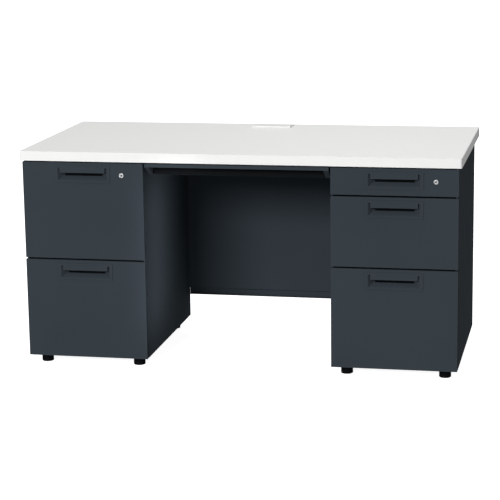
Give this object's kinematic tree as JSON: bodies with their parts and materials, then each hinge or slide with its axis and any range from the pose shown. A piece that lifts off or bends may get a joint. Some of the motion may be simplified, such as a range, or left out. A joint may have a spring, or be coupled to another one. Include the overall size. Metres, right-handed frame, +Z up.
{
  "type": "teacher desk",
  "caption": "Steel double-pedestal desk with a white worktop, recessed pull handles, file and pen drawers, a thin centre drawer, cylinder locks, a modesty panel and a cable port.",
  "frame": {"origin": "on the floor under the centre of the worktop", "axes": "+X to the right of somebody facing the drawer fronts, +Y towards the back, +Z up"},
  "size_m": [1.4, 0.7, 0.7056],
  "materials": {
    "white_laminate": "white melamine laminate on board, fine matt texture",
    "white_edge": "white edge band, satin",
    "white_plastic": "white moulded plastic, satin",
    "dark_paint": "dark blue-grey powder coat on sheet steel, fine satin texture",
    "zinc_steel": "bright zinc plate",
    "chrome": "polished",
    "black_plastic": "black moulded plastic"
  },
  "bodies": {
    "desk_frame": {"worktop": "white_laminate", "worktop_edge_band": "white_edge", "cable_port_frame": "white_plastic", "modesty_panel": "dark_paint", "left_outer_side": "dark_paint", "left_inner_side": "dark_paint", "left_back": "dark_paint", "left_bottom": "dark_paint", "left_top_frame": "dark_paint", "left_foot_front_outer": "black_plastic", "left_foot_front_inner": "black_plastic", "left_foot_back_outer": "black_plastic", "left_foot_back_inner": "black_plastic", "left_upper_drawer_runner_left": "zinc_steel", "left_upper_drawer_runner_right": "zinc_steel", "left_lower_drawer_runner_left": "zinc_steel", "left_lower_drawer_runner_right": "zinc_steel", "right_outer_side": "dark_paint", "right_inner_side": "dark_paint", "right_back": "dark_paint", "right_bottom": "dark_paint", "right_top_frame": "dark_paint", "right_foot_front_outer": "black_plastic", "right_foot_front_inner": "black_plastic", "right_foot_back_outer": "black_plastic", "right_foot_back_inner": "black_plastic", "right_top_drawer_runner_left": "zinc_steel", "right_top_drawer_runner_right": "zinc_steel", "right_middle_drawer_runner_left": "zinc_steel", "right_middle_drawer_runner_right": "zinc_steel", "right_bottom_drawer_runner_left": "zinc_steel", "right_bottom_drawer_runner_right": "zinc_steel", "centre_drawer_runner_left": "zinc_steel", "centre_drawer_runner_right": "zinc_steel"},
    "left_upper_drawer": {"left_upper_drawer_front": "dark_paint", "left_upper_drawer_handle": "dark_paint", "left_upper_drawer_tray": "dark_paint", "left_lock_housing": "chrome"},
    "left_lower_drawer": {"left_lower_drawer_front": "dark_paint", "left_lower_drawer_handle": "dark_paint", "left_lower_drawer_tray": "dark_paint"},
    "left_lock_plug": {"left_lock_plug": "chrome"},
    "left_lock_bar": {"left_lock_bar": "zinc_steel"},
    "right_top_drawer": {"right_top_drawer_front": "dark_paint", "right_top_drawer_handle": "dark_paint", "right_top_drawer_tray": "dark_paint", "right_lock_housing": "chrome"},
    "right_middle_drawer": {"right_middle_drawer_front": "dark_paint", "right_middle_drawer_handle": "dark_paint", "right_middle_drawer_tray": "dark_paint"},
    "right_bottom_drawer": {"right_bottom_drawer_front": "dark_paint", "right_bottom_drawer_handle": "dark_paint", "right_bottom_drawer_tray": "dark_paint"},
    "right_lock_plug": {"right_lock_plug": "chrome"},
    "right_lock_bar": {"right_lock_bar": "zinc_steel"},
    "centre_drawer": {"centre_drawer_front": "dark_paint", "centre_drawer_pull_strip": "black_plastic", "centre_drawer_tray": "dark_paint"},
    "cable_port_lid": {"cable_port_lid": "white_plastic"}
  },
  "joints": [
    {"name": "left_upper_drawer_slide", "type": "slide", "parent": "desk_frame", "child": "left_upper_drawer", "axis": [0, -1, 0], "range_m": [0, 0.4]},
    {"name": "left_lower_drawer_slide", "type": "slide", "parent": "desk_frame", "child": "left_lower_drawer", "axis": [0, -1, 0], "range_m": [0, 0.4]},
    {"name": "right_top_drawer_slide", "type": "slide", "parent": "desk_frame", "child": "right_top_drawer", "axis": [0, -1, 0], "range_m": [0, 0.34]},
    {"name": "right_middle_drawer_slide", "type": "slide", "parent": "desk_frame", "child": "right_middle_drawer", "axis": [0, -1, 0], "range_m": [0, 0.4]},
    {"name": "right_bottom_drawer_slide", "type": "slide", "parent": "desk_frame", "child": "right_bottom_drawer", "axis": [0, -1, 0], "range_m": [0, 0.4]},
    {"name": "centre_drawer_slide", "type": "slide", "parent": "desk_frame", "child": "centre_drawer", "axis": [0, -1, 0], "range_m": [0, 0.33]},
    {"name": "left_lock_turn", "type": "hinge", "parent": "left_upper_drawer", "child": "left_lock_plug", "pos_m": [-0.367, -0.3475, 0.627], "axis": [0, 1, 0], "range_deg": [0, 90]},
    {"name": "left_lock_bar_lift", "type": "slide", "parent": "desk_frame", "child": "left_lock_bar", "axis": [0, 0, 1], "range_m": [0, 0.009]},
    {"name": "right_lock_turn", "type": "hinge", "parent": "right_top_drawer", "child": "right_lock_plug", "pos_m": [0.622, -0.3475, 0.627], "axis": [0, 1, 0], "range_deg": [0, 90]},
    {"name": "right_lock_bar_lift", "type": "slide", "parent": "desk_frame", "child": "right_lock_bar", "axis": [0, 0, 1], "range_m": [0, 0.009]},
    {"name": "cable_port_lid_hinge", "type": "hinge", "parent": "desk_frame", "child": "cable_port_lid", "pos_m": [0, 0.309, 0.7004], "axis": [-1, 0, 0], "range_deg": [0, 95]}
  ],
  "couplings": [
    {"joint": "left_lock_turn", "follows": "left_lock_bar_lift", "rad_per_m": 174.5},
    {"joint": "right_lock_turn", "follows": "right_lock_bar_lift", "rad_per_m": 174.5}
  ]
}
